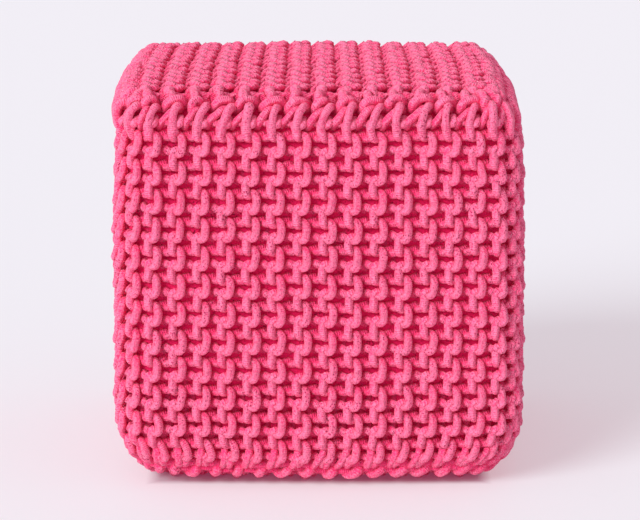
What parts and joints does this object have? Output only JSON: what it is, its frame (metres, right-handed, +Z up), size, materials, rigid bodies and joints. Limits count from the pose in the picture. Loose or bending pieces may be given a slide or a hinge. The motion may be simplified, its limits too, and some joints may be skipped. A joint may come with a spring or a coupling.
{
  "type": "knitted pouf",
  "caption": "Filled cube floor pouf in a thick garter-stitch cord cover, with sewn top and base edges and a flat base to stand on.",
  "frame": {"origin": "middle of the base, on the floor the pouf stands on", "axes": "+Z up; -Y is the front, the side the picture shows; +X is the front's right-hand side"},
  "size_m": [0.3614, 0.3614, 0.35],
  "materials": {
    "knit": "matt cotton cord, hot pink",
    "seam": "matt cotton cord, hot pink"
  },
  "bodies": {
    "root": {"side_band": "knit", "top_square": "knit", "base_square": "knit", "top_seam": "seam", "base_seam": "seam"}
  },
  "joints": []
}
